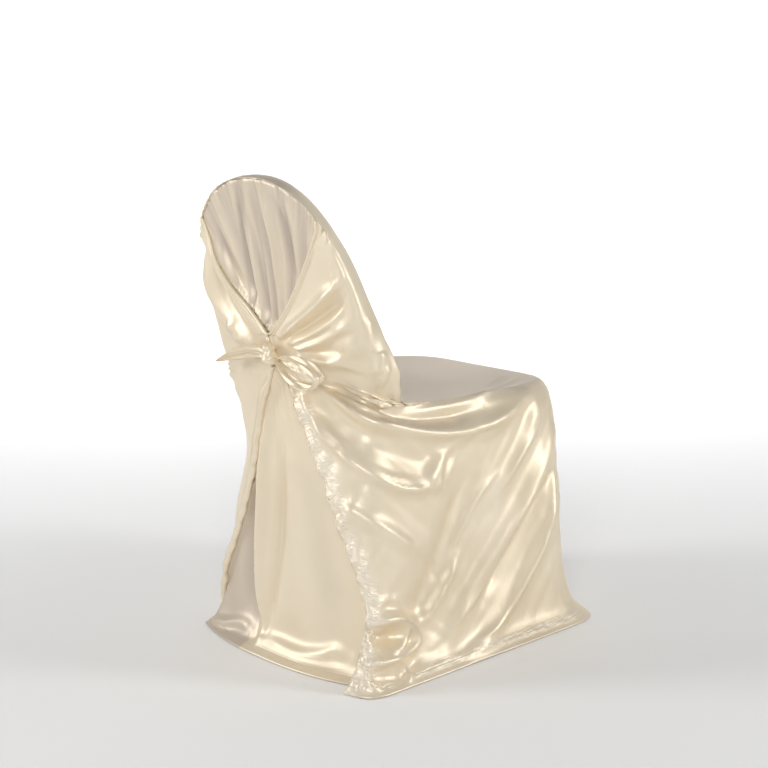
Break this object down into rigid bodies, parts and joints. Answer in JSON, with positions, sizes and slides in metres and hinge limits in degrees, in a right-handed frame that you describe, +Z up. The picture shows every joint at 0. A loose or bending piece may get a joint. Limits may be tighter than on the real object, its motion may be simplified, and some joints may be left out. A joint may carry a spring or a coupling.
{
  "type": "chair cover with sash",
  "caption": "Satin chair cover fitted over a round-backed chair, its wings knotted behind over a gathered rear panel, its skirt falling to the floor.",
  "frame": {"origin": "on the floor, at the middle of the cover's outline seen from above", "axes": "+Z up, -Y towards the front of the chair, +Y towards the tied rear, X across the chair"},
  "size_m": [0.5712, 0.6613, 0.8914],
  "materials": {
    "cover_satin": "glossy champagne satin",
    "panel_satin": "glossy champagne satin, gathered",
    "tie_satin": "glossy champagne satin, crumpled"
  },
  "bodies": {
    "root": {"cover_body": "cover_satin", "rear_panel": "panel_satin", "tie_knot": "tie_satin", "tie_tail": "tie_satin", "tie_loop": "tie_satin"}
  },
  "joints": []
}
